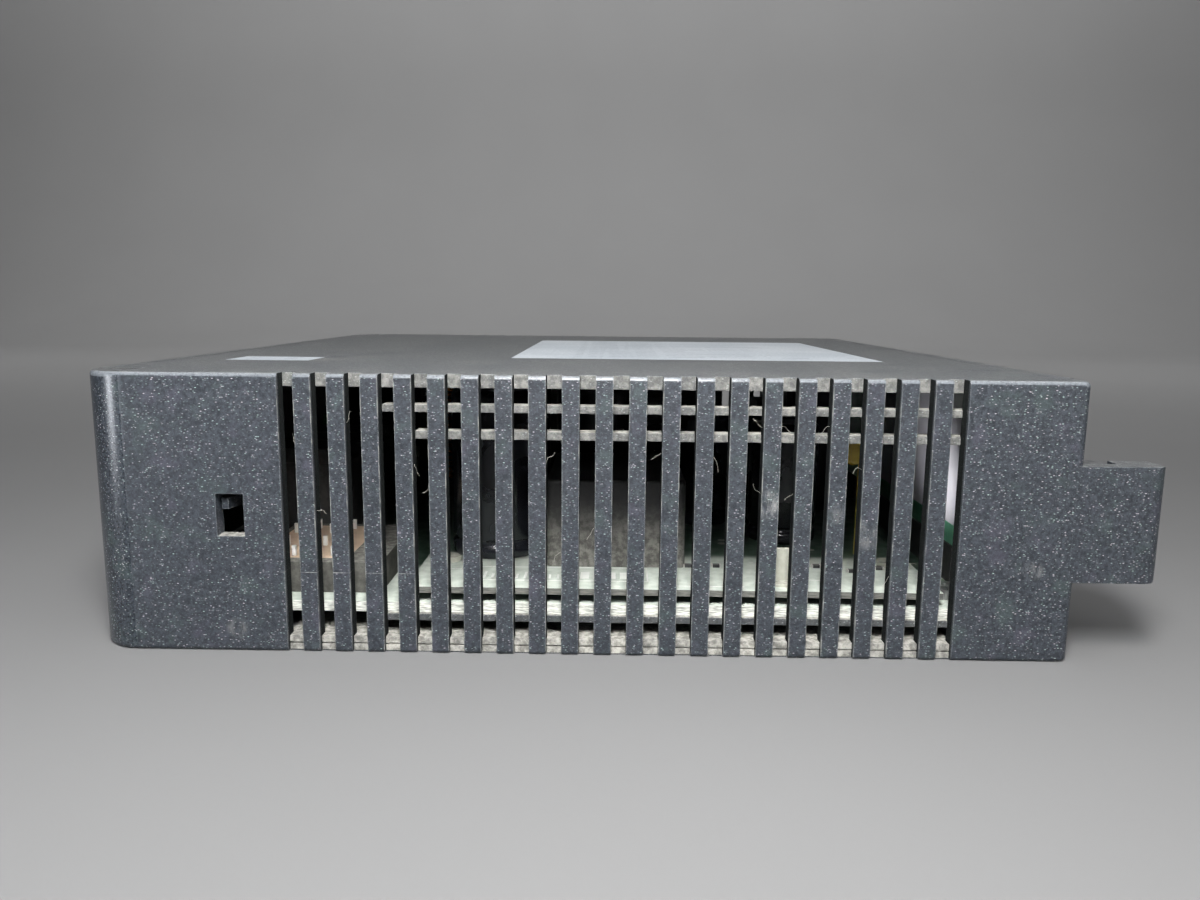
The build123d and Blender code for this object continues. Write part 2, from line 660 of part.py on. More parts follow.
trimmer_y, trimmer_z = trimmer_place
with BuildPart() as trimmer_body:
    slab(across(13.0, 18.0), around(trimmer_y, 4.8), (board_top, trimmer_z + 4.8))
    rod((datum + 12.0, trimmer_y, trimmer_z), (1, 0, 0), 2.55, 4.0, Mode.SUBTRACT)
save(trimmer_body, "trimmer_body")

with BuildPart() as trimmer_rotor:
    rod((datum + 12.2, trimmer_y, trimmer_z), (1, 0, 0), 2.5, 3.6)
    slab(across(12.0, 13.0), around(trimmer_y, 1.9), around(trimmer_z, 0.35), Mode.SUBTRACT)
save(trimmer_rotor, "trimmer_rotor")

# ---------------------------------------------------------------- terminal strip

poles = [first_pole + index * pole_pitch for index in range(pole_count)]
face_x = strip_x[0]
pocket_x = (face_x + 3.8, strip_x[1] - 1.0)
cage_front = pocket_x[0] + 0.1 + cage_travel
cage_inner = (cage_front + 1.4, cage_front + 7.0)
contact_x = (cage_inner[0] + 0.3, cage_inner[0] + 1.1)

with BuildPart() as terminal_block:
    slab(strip_x, (poles[0] - 6.5, poles[-1] + 6.5), (board_top, strip_top))
    for y in poles:
        slab(pocket_x, around(y, 3.7), (board_top + 1.5, strip_top + 1), Mode.SUBTRACT)
        rod((face_x - 1, y, screw_height), (1, 0, 0), 2.9, 3.4, Mode.SUBTRACT)
        rod((face_x - 1, y, screw_height), (1, 0, 0), 1.7, 6, Mode.SUBTRACT)
        slab(contact_x, around(y, 2.3), (board_top - 1, board_top + 2), Mode.SUBTRACT)
    for y in [poles[0] - pole_pitch / 2] + [pole + pole_pitch / 2 for pole in poles]:
        slab(strip_x, around(y, 0.7), (strip_top - 0.5, strip_top + 2.5))
save(terminal_block, "terminal_block")

with BuildPart() as terminal_contacts:
    for y in poles:
        slab(contact_x, around(y, 2.2), (board_top, strip_top - 1.0))
save(terminal_contacts, "terminal_contacts")


def terminal_screw(y, name):
    """A slotted clamp screw that turns in place behind the strip's face."""
    with BuildPart() as screw:
        rod((face_x + 0.3, y, screw_height), (1, 0, 0), 2.7, 2.0)
        rod((face_x + 2.0, y, screw_height), (1, 0, 0), 1.5, contact_x[0] - 0.2 - face_x - 2.0)
        slab((face_x, face_x + 1.3), around(y, 3.0), around(screw_height, 0.4), Mode.SUBTRACT)
    save(screw, name)


def terminal_cage(y, name):
    """A square cage that the screw draws towards the front, with room for a wire inside."""
    with BuildPart() as cage:
        slab((cage_front, cage_inner[1] + 1.0), around(y, 3.5), (9.0, 21.5))
        slab(cage_inner, around(y, 2.5), (8.0, 22.5), Mode.SUBTRACT)
        rod((cage_front - 1, y, screw_height), (1, 0, 0), 1.56, 3, Mode.SUBTRACT)
    save(cage, name)


for number, pole in enumerate(poles, start=1):
    terminal_screw(pole, f"terminal_screw_{number}")
    terminal_cage(pole, f"terminal_cage_{number}")
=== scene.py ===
import json
import math
import random

import bmesh
import bpy
from mathutils import Matrix, Vector


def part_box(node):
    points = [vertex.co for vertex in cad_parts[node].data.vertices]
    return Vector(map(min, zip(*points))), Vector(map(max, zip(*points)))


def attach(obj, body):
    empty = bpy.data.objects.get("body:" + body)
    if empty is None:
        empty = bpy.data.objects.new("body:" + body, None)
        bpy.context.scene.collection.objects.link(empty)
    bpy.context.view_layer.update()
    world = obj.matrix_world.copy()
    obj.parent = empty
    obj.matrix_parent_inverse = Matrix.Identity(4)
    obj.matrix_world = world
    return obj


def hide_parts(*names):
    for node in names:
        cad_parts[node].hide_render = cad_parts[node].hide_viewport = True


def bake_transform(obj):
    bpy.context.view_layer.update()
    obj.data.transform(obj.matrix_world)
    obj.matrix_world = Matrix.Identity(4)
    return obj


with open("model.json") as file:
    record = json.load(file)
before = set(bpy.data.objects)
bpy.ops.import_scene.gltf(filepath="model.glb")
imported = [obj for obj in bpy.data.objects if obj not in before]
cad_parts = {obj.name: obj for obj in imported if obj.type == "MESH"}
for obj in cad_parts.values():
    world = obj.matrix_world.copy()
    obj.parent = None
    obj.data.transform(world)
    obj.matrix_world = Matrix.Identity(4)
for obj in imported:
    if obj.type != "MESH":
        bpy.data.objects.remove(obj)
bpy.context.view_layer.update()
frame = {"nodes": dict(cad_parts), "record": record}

MM = 0.001
RIDES_ON = "case"

# Places read from the frame, in metres
END_LOW, END_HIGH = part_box("grille_near")
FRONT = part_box("front_bezel")[0].x
DATUM = FRONT + 2.5 * MM
NEAR = END_LOW.y
ROOF = END_HIGH.z
END_FACE = -NEAR
SLOT_COUNT = 21
SLOT_WIDTH = 2.32 * MM
SLOT_PITCH = 4.88 * MM
SLOT_MARGIN = 0.5 * MM
FIRST_SLOT = DATUM + 27.61 * MM
LAST_SLOT = FIRST_SLOT + (SLOT_COUNT - 1) * SLOT_PITCH
SLOTS_FROM = FIRST_SLOT - SLOT_MARGIN
SLOTS_TO = LAST_SLOT + SLOT_WIDTH + SLOT_MARGIN


# ------------------------------------------------------------------ shader tools


class Shader:
    """One material's node tree. Each method adds a node and gives back its output."""

    def __init__(self, name):
        self.material = bpy.data.materials.new(name)
        self.material.use_nodes = True
        self.nodes = self.material.node_tree.nodes
        self.links = self.material.node_tree.links
        self.surface = self.nodes["Principled BSDF"]
        coordinates = self.nodes.new("ShaderNodeTexCoord")
        self.place = coordinates.outputs["Object"]
        self.facing = coordinates.outputs["Normal"]

    def feed(self, socket, value):
        if isinstance(value, bpy.types.NodeSocket):
            self.links.new(value, socket)
        elif isinstance(value, tuple) and len(value) == 3 and socket.type == "RGBA":
            socket.default_value = (*value, 1.0)
        else:
            socket.default_value = value

    def add(self, kind, **values):
        node = self.nodes.new(kind)
        for name, value in values.items():
            self.feed(node.inputs[name], value)
        return node

    def noise(self, scale, detail=2.0, roughness=0.5, stretch=None):
        node = self.add("ShaderNodeTexNoise", Scale=scale, Detail=detail, Roughness=roughness)
        place = self.stretched(stretch) if stretch else self.place
        self.links.new(place, node.inputs["Vector"])
        return node.outputs["Fac"]

    def stretched(self, factors):
        node = self.add("ShaderNodeMapping", Scale=factors)
        self.links.new(self.place, node.inputs["Vector"])
        return node.outputs["Vector"]

    def cells(self, scale, stretch=None):
        """Distance to the nearest point and a random colour for each cell."""
        node = self.add("ShaderNodeTexVoronoi", Scale=scale)
        place = self.stretched(stretch) if stretch else self.place
        self.links.new(place, node.inputs["Vector"])
        return node.outputs["Distance"], node.outputs["Color"]

    def math(self, operation, first, second=0.5):
        node = self.nodes.new("ShaderNodeMath")
        node.operation = operation
        self.feed(node.inputs[0], first)
        self.feed(node.inputs[1], second)
        return node.outputs[0]

    def times(self, *factors):
        product = factors[0]
        for factor in factors[1:]:
            product = self.math("MULTIPLY", product, factor)
        return product

    def square(self, value, centre):
        """The square of a value's distance from a centre."""
        away = self.math("SUBTRACT", value, centre)
        return self.math("MULTIPLY", away, away)

    def most(self, first, second):
        return self.math("MAXIMUM", first, second)

    def step(self, value, low, high, start=0.0, end=1.0):
        """Smooth step from start to end as the value goes from low to high."""
        node = self.nodes.new("ShaderNodeMapRange")
        node.interpolation_type = "SMOOTHSTEP"
        self.feed(node.inputs["Value"], value)
        for name, number in (("From Min", low), ("From Max", high), ("To Min", start), ("To Max", end)):
            node.inputs[name].default_value = number
        return node.outputs["Result"]

    def within(self, value, low, high, soft):
        """1 between low and high, falling to 0 over soft outside them."""
        return self.times(self.step(value, low - soft, low), self.step(value, high, high + soft, 1.0, 0.0))

    def mix(self, factor, first, second):
        node = self.nodes.new("ShaderNodeMix")
        node.data_type = "RGBA"
        self.feed(node.inputs[0], factor)
        self.feed(node.inputs[6], first)
        self.feed(node.inputs[7], second)
        return node.outputs[2]

    def blend(self, factor, first, second):
        node = self.nodes.new("ShaderNodeMix")
        self.feed(node.inputs[0], factor)
        self.feed(node.inputs[2], first)
        self.feed(node.inputs[3], second)
        return node.outputs[0]

    def split(self, vector):
        node = self.nodes.new("ShaderNodeSeparateXYZ")
        self.links.new(vector, node.inputs[0])
        return node.outputs[0], node.outputs[1], node.outputs[2]

    def rounded_normal(self, radius):
        node = self.nodes.new("ShaderNodeBevel")
        node.samples = 3
        node.inputs["Radius"].default_value = radius
        return node.outputs["Normal"]

    def edges(self, radius, low=0.02, high=0.25):
        """1 near outside and inside edges, 0 on open faces."""
        geometry = self.nodes.new("ShaderNodeNewGeometry")
        dot = self.nodes.new("ShaderNodeVectorMath")
        dot.operation = "DOT_PRODUCT"
        self.links.new(self.rounded_normal(radius), dot.inputs[0])
        self.links.new(geometry.outputs["Normal"], dot.inputs[1])
        return self.step(self.math("SUBTRACT", 1.0, dot.outputs["Value"]), low, high)

    def bump(self, height, distance, strength=1.0, edge=None):
        node = self.nodes.new("ShaderNodeBump")
        node.inputs["Strength"].default_value = strength
        node.inputs["Distance"].default_value = distance
        self.feed(node.inputs["Height"], height)
        if edge:
            self.links.new(self.rounded_normal(edge), node.inputs["Normal"])
        return node.outputs["Normal"]

    def finish(self, colour, roughness, normal=None, **constants):
        self.feed(self.surface.inputs["Base Color"], colour)
        self.feed(self.surface.inputs["Roughness"], roughness)
        if normal:
            self.links.new(normal, self.surface.inputs["Normal"])
        for name, value in constants.items():
            self.surface.inputs[name.replace("_", " ")].default_value = value
        return self.material


DUST = (0.44, 0.43, 0.385)
DUST_DARK = (0.17, 0.165, 0.145)
# Pale dust on the boards near the slots, also a painted pool of the light that falls in through them
BOARD_DUST_AND_LIGHT = (0.52, 0.56, 0.50)
DUST_AND_LIGHT_FROM = END_FACE - 24.0 * MM
SPECK_PALE_GREEN = (0.36, 0.47, 0.43)
SPECK_PALE_PINK = (0.52, 0.46, 0.50)
# Near-black painted shade for the side walls of the slots
SLOT_WALL_SHADE = (0.006, 0.007, 0.006)
# Filler specks: texture scale, least chance, reach in the cell and strength
SPECKS = ((3500.0, 0.08, 0.45, 0.70), (1900.0, 0.80, 0.20, 0.5))
# Heights of the fine scratch across the first slats, and how far it runs
SCRATCH_Z = (12.45 * MM, 12.52 * MM)
SCRATCH_LENGTH = 22.0 * MM
# Window for the snap arm, and the ledge under the main board
WINDOW_X = (DATUM + 17.6 * MM, DATUM + 22.1 * MM)
SILL_Z = (17.0 * MM, 19.0 * MM)
LEDGE_Z = (4.3 * MM, 5.6 * MM)
# Rubbed spots on the ends: X, Z, reach and strength
SCUFFS = (
    (DATUM + 99.4 * MM, 0.0237, 2.6 * MM, 0.6),
    (DATUM + 114.5 * MM, 0.0193, 2.8 * MM, 0.35),
    (DATUM + 109.8 * MM, 0.0225, 2.0 * MM, 0.3),
    (DATUM + 20.1 * MM, 0.0036, 2.0 * MM, 0.3),
    (DATUM + 138.7 * MM, 0.0142, 1.8 * MM, 0.3),
)


def dust_layer(shader, colour, roughness, amount, scale=900.0):
    """Mixes clumpy dust over a colour, where the amount says so."""
    clumps = shader.step(shader.noise(scale, 4.0, 0.7), 0.36, 0.66)
    patches = shader.step(shader.noise(140.0, 3.0), 0.35, 0.65, 0.7, 1.0)
    cover = shader.times(amount, patches)
    tint = shader.mix(clumps, DUST_DARK, DUST)
    return shader.mix(cover, colour, tint), shader.blend(cover, roughness, 0.95), clumps


# ------------------------------------------------------------------ materials


def case_plastic():
    """Charcoal moulded plastic with spark-eroded grain, bright specks, scuffs, and dust in the slots."""
    s = Shader("case_plastic")
    x, y, z = s.split(s.place)
    facing_x, facing_y, facing_z = s.split(s.facing)
    depth = s.math("ABSOLUTE", y)
    grain = s.noise(3400.0, 3.0, 0.7, (0.7, 1.0, 1.2))
    mottle = s.noise(2300.0, 4.0, 0.75)
    colour = s.mix(s.step(mottle, 0.36, 0.66), (0.009, 0.012, 0.016), (0.036, 0.042, 0.052))
    # Faint drifts of hue, bluish, greenish and purplish
    drift = s.noise(190.0, 3.0, 0.6)
    colour = s.mix(s.step(drift, 0.30, 0.45, 0.35, 0.0), colour, (0.042, 0.062, 0.058))
    colour = s.mix(s.step(drift, 0.56, 0.72, 0.0, 0.35), colour, (0.060, 0.055, 0.078))
    # Specks of filler in two sizes: pale, some greenish and some pinkish
    for scale, least, reach, strength in SPECKS:
        distance, random_colour = s.cells(scale, (0.62, 1.0, 1.25))
        chance, tint, size = s.split(random_colour)
        speck = s.times(s.step(chance, least, least + 0.03), s.step(distance, 0.10, reach, 1.0, 0.0))
        bright = s.math("POWER", size, 2.8)
        speck_colour = s.mix(tint, SPECK_PALE_GREEN, SPECK_PALE_PINK)
        colour = s.mix(s.times(speck, bright, strength), colour, speck_colour)
    # Scuffs: long thin marks in loose patches
    scratch = s.noise(260.0, 5.0, 0.8, (0.2, 1.0, 7.0))
    patch = s.step(s.noise(30.0, 2.0), 0.58, 0.70)
    colour = s.mix(s.times(s.step(scratch, 0.66, 0.74), patch, 0.35), colour, (0.24, 0.25, 0.25))
    worn = s.step(s.noise(900.0, 3.0), 0.40, 0.62, 0.25, 0.75)
    colour = s.mix(s.times(s.edges(0.28 * MM), worn), colour, (0.21, 0.225, 0.235))
    # Fuzzy rubbed spots, and one fine scratch across the first slats
    fuzz = s.step(s.noise(700.0, 5.0, 0.8, (1.0, 1.0, 0.35)), 0.40, 0.68)
    for spot_x, spot_z, reach, strength in SCUFFS:
        away = s.math("ADD", s.square(x, spot_x), s.square(z, spot_z))
        spot = s.step(away, 0.0, reach * reach, strength, 0.0)
        colour = s.mix(s.times(spot, fuzz), colour, (0.30, 0.30, 0.29))
    scratch_line = s.times(
        s.within(z, *SCRATCH_Z, 0.05 * MM), s.within(x, FIRST_SLOT, FIRST_SLOT + SCRATCH_LENGTH, MM)
    )
    colour = s.mix(s.times(scratch_line, s.step(fuzz, 0.0, 1.0, 0.25, 0.8)), colour, (0.26, 0.26, 0.25))
    # The rounded rim along the top of the end carries a painted highlight, a pale band, and is smooth
    outward = s.math("ABSOLUTE", facing_y)
    highlight_rim = s.times(s.within(outward, 0.25, 0.93, 0.06), s.step(z, ROOF - 0.9 * MM, ROOF - 0.7 * MM))
    colour = s.mix(s.times(highlight_rim, s.step(mottle, 0.25, 0.6, 0.4, 0.8)), colour, (0.15, 0.163, 0.178))
    # A thin broken line of dust runs down both edges of every slat
    slot_phase = s.math("MODULO", s.math("SUBTRACT", x, FIRST_SLOT), SLOT_PITCH)
    from_slot = s.most(s.math("SUBTRACT", slot_phase, SLOT_WIDTH), 0.0)
    to_slot = s.math("SUBTRACT", SLOT_PITCH, slot_phase)
    rim = s.step(s.math("MINIMUM", from_slot, to_slot), 0.05 * MM, 0.17 * MM, 1.0, 0.0)
    on_front = s.times(
        s.within(x, FIRST_SLOT, LAST_SLOT, 0.1 * MM), s.step(depth, END_FACE - 0.3 * MM, END_FACE - 0.1 * MM)
    )
    broken = s.step(s.noise(420.0, 4.0, 0.7), 0.45, 0.68, 0.03, 0.6)
    colour = s.mix(s.times(rim, on_front, broken), colour, (0.30, 0.30, 0.27))
    # Walls of the slots are painted near-black as painted shade, and everything else inside them carries dust
    inside = s.times(
        s.step(depth, END_FACE - 0.9 * MM, END_FACE - 0.2 * MM, 1.0, 0.0),
        s.step(depth, 66.0 * MM, 68.0 * MM),
        s.within(x, SLOTS_FROM, SLOTS_TO, 0.3 * MM),
        s.within(z, 0.2 * MM, ROOF - 0.1 * MM, 0.1 * MM),
    )
    sideways = s.step(s.math("ABSOLUTE", facing_x), 0.4, 0.7)
    colour = s.mix(s.times(inside, sideways, 0.85), colour, SLOT_WALL_SHADE)
    level = s.step(facing_z, 0.3, 0.8)
    low_down = s.step(z, 2.0 * MM, 3.5 * MM, 1.0, 0.0)
    ledge = s.times(s.within(z, *LEDGE_Z, 0.1 * MM), s.step(level, 0.0, 1.0, 0.28, 0.0))
    standing = s.math("SUBTRACT", 0.42, ledge)
    settled = s.times(
        inside, s.step(sideways, 0.0, 1.0, 1.0, 0.02), s.most(s.blend(level, standing, 1.0), low_down)
    )
    sill = s.times(level, s.within(x, *WINDOW_X, 0.1 * MM), s.within(z, *SILL_Z, 0.5 * MM))
    film = s.times(s.step(facing_z, 0.6, 0.95), s.step(s.noise(90.0, 4.0), 0.3, 0.75, 0.10, 0.19))
    rough = s.step(mottle, 0.2, 0.8, 0.40, 0.56)
    colour, rough, clumps = dust_layer(s, colour, rough, s.most(s.most(settled, sill), film))
    # The big round corners are rubbed smooth
    rough = s.blend(s.times(inside, sideways), rough, 0.95)
    corner = s.times(
        s.step(x, FRONT + 6.9 * MM, FRONT + 7.6 * MM, 1.0, 0.0),
        s.step(depth, END_FACE - 9.0 * MM, END_FACE - 7.0 * MM),
    )
    rough = s.blend(s.most(corner, highlight_rim), rough, 0.24)
    relief = s.math("ADD", s.times(grain, s.step(corner, 0.0, 1.0, 0.7, 0.15)), s.times(clumps, settled, 0.8))
    s.feed(s.surface.inputs["Specular IOR Level"], s.step(s.times(inside, sideways), 0.0, 1.0, 0.5, 0.1))
    return s.finish(colour, rough, s.bump(relief, 0.10 * MM, 0.7, 0.25 * MM))


def moulded(
    name, dark, light, roughness=0.5, grain=1500.0, bump=0.04, dust=0.0, edge=0.2, specular=0.4, foot=None
):
    """Plain moulded plastic: grain, cloudy colour, worn edges, and dust that may thicken towards a foot into
    a pale lower band, partly real dust and partly painted light on the lower part.
    """
    s = Shader(name)
    fine = s.noise(grain, 3.0, 0.6)
    cloud = s.noise(grain * 0.08, 3.0)
    colour = s.mix(s.step(cloud, 0.3, 0.7), dark, light)
    worn = tuple(min(1.0, value * 1.6 + 0.03) for value in light)
    colour = s.mix(s.times(s.edges(edge * MM), s.step(fine, 0.4, 0.6), 0.5), colour, worn)
    rough = s.step(cloud, 0.2, 0.8, roughness - 0.08, roughness + 0.1)
    if dust:
        amount = s.times(s.step(s.split(s.facing)[2], 0.2, 0.9, 0.35, 1.0), dust)
        # Towards the foot the dust thickens into a pale lower band: real dust, and also painted light falling
        # on the lower part
        if foot:
            amount = s.times(amount, s.step(s.split(s.place)[2], foot.z, foot.z + 12.0 * MM, 3.0, 0.1))
        colour, rough, _ = dust_layer(s, colour, rough, amount)
    return s.finish(colour, rough, s.bump(fine, bump * MM, 0.6, edge * MM), Specular_IOR_Level=specular)


def metal(name, dark, light, roughness=0.35, brushed=None, dust=0.0, edge=0.15):
    """Bare or plated metal with brushing, tarnish and bright edges."""
    s = Shader(name)
    brush = s.noise(900.0, 4.0, 0.7, brushed) if brushed else s.noise(1200.0, 4.0, 0.7)
    tarnish = s.noise(160.0, 4.0, 0.6)
    colour = s.mix(s.step(tarnish, 0.35, 0.7), light, dark)
    rough = s.step(brush, 0.25, 0.75, roughness - 0.1, roughness + 0.15)
    if dust:
        upward = s.step(s.split(s.facing)[2], 0.2, 0.9, 0.3, 1.0)
        colour, rough, _ = dust_layer(s, colour, rough, s.times(upward, dust))
    return s.finish(colour, rough, s.bump(brush, 0.02 * MM, 0.5, edge * MM), Metallic=0.95)


def circuit_board(name, mask, track, dust, core, upright=False):
    """Solder-masked board: tracks under the mask, pads, laminate at the edges, and near the slots pale dust
    that is also a painted pool of light.
    """
    s = Shader(name)
    _, y, _ = s.split(s.place)
    facing_x, _, facing_z = s.split(s.facing)
    faced = facing_x if upright else facing_z
    distance, cell_colour = s.cells(260.0)
    chance, _, _ = s.split(cell_colour)
    brick = s.add("ShaderNodeTexBrick", Scale=240.0)
    brick.inputs["Mortar Size"].default_value = 0.08
    s.links.new(s.place, brick.inputs["Vector"])
    tracks = s.times(s.step(chance, 0.45, 0.5), s.math("SUBTRACT", 1.0, brick.outputs["Fac"]))
    colour = s.mix(s.times(tracks, 0.8), mask, track)
    pads = s.times(s.step(chance, 0.80, 0.82), s.step(distance, 0.16, 0.20, 1.0, 0.0))
    colour = s.mix(pads, colour, (0.42, 0.41, 0.37))
    colour = s.mix(s.step(s.noise(75.0, 3.0), 0.35, 0.7, 0.0, 0.35), colour, mask)
    # Laminate shows at the cut edges, in thin layers
    layers = s.noise(5600.0, 3.0, 0.6, (0.10, 0.10, 1.0))
    edge_colour = s.mix(s.step(layers, 0.36, 0.60), tuple(0.35 * value for value in core), core)
    colour = s.mix(s.step(s.math("ABSOLUTE", faced), 0.3, 0.5, 1.0, 0.0), colour, edge_colour)
    rough = s.step(s.noise(300.0), 0.3, 0.7, 0.32, 0.5)
    # Upward faces near the slots get pale dust, which is also a painted pool of light from the slots; further
    # in the board stays bare and dark
    dust_and_light_near_slots = s.step(s.math("ABSOLUTE", y), DUST_AND_LIGHT_FROM, DUST_AND_LIGHT_FROM + 4.0 * MM, 0.06, 1.0)
    upward = s.step(facing_z, 0.3, 0.9, 0.08, 1.0)
    pale = s.step(s.noise(500.0, 3.0, 0.6), 0.3, 0.7, 0.75, 1.0)
    colour = s.mix(s.times(upward, dust_and_light_near_slots, pale, dust), colour, BOARD_DUST_AND_LIGHT)
    rough = s.blend(s.times(dust_and_light_near_slots, dust), rough, 0.8)
    relief = s.math("ADD", s.times(tracks, 0.5), s.times(pale, 0.4))
    return s.finish(colour, rough, s.bump(relief, 0.05 * MM, 0.6, 0.08 * MM))


LABEL_ROW = 5.2 * MM
LABEL_ROWS_LEAST = 3


def label_paper(name, box_low, box_high):
    """Satin label with a plain printed table of bars and rules, and a little rubbing."""
    s = Shader(name)
    x, y, _ = s.split(s.place)
    width = box_high.x - box_low.x
    length = box_high.y - box_low.y
    across = s.step(x, box_low.x, box_high.x)
    fibres = s.noise(1400.0, 3.0, 0.6)
    colour = s.mix(s.step(s.noise(60.0, 3.0), 0.3, 0.7), (0.30, 0.33, 0.36), (0.37, 0.395, 0.42))
    rows = max(LABEL_ROWS_LEAST, round(length / LABEL_ROW))
    phase = s.math("FRACT", s.math("DIVIDE", s.math("SUBTRACT", y, box_low.y), length / rows))
    row_number = s.math("FLOOR", s.math("DIVIDE", s.math("SUBTRACT", y, box_low.y), length / rows))
    reach = s.math("FRACT", s.math("MULTIPLY", s.math("SINE", s.times(row_number, 12.9898)), 43.75))
    bars = s.times(
        s.within(phase, 0.40, 0.62, 0.02),
        s.step(across, 0.07, 0.075),
        s.math("LESS_THAN", across, s.step(reach, 0.0, 1.0, 0.3, 0.92)),
        s.step(s.noise(520.0, 1.0, 0.5, (1.0, 0.02, 1.0)), 0.40, 0.46),
    )
    rules = s.times(s.within(phase, 0.0, 0.02, 0.01), s.within(across, 0.05, 0.95, 0.005))
    margin = min(width, length) * 0.04
    frame_mask = s.times(
        s.within(x, box_low.x + margin, box_high.x - margin, 0.01 * MM),
        s.within(y, box_low.y + margin, box_high.y - margin, 0.01 * MM),
    )
    ink = s.times(s.most(bars, rules), frame_mask, 0.55)
    colour = s.mix(ink, colour, (0.10, 0.12, 0.15))
    rub = s.step(s.noise(45.0, 5.0, 0.7, (1.0, 5.0, 1.0)), 0.62, 0.75, 0.0, 0.5)
    colour = s.mix(rub, colour, (0.42, 0.43, 0.43))
    return s.finish(colour, s.step(fibres, 0.3, 0.7, 0.34, 0.5), s.bump(fibres, 0.01 * MM, 0.5))


def sheet_plastic(name, colour_low, colour_high, roughness, **constants):
    """Thin translucent-looking sheet or glossy moulding with soft clouding."""
    s = Shader(name)
    cloud = s.noise(110.0, 4.0)
    fine = s.noise(2200.0, 2.0)
    colour = s.mix(s.step(cloud, 0.3, 0.7), colour_low, colour_high)
    colour, rough, _ = dust_layer(s, colour, roughness, s.step(cloud, 0.3, 0.8, 0.02, 0.15))
    return s.finish(colour, rough, s.bump(fine, 0.02 * MM, 0.5, 0.2 * MM), **constants)


def taped_coil(name):
    """Polyester tape round a coil, in overlapping turns."""
    s = Shader(name)
    _, _, z = s.split(s.place)
    turn = s.math("FRACT", s.math("DIVIDE", z, 2.4 * MM))
    lap = s.step(turn, 0.0, 0.08)
    sheen = s.noise(180.0, 4.0, 0.6, (1.0, 1.0, 4.0))
    colour = s.mix(s.step(sheen, 0.3, 0.7), (0.020, 0.015, 0.010), (0.045, 0.032, 0.018))
    colour = s.mix(s.times(s.math("SUBTRACT", 1.0, lap), 0.6), colour, (0.010, 0.008, 0.006))
    normal = s.bump(lap, 0.05 * MM, 0.8, 0.2 * MM)
    return s.finish(colour, s.step(sheen, 0.3, 0.7, 0.2, 0.35), normal, Coat_Weight=0.3)


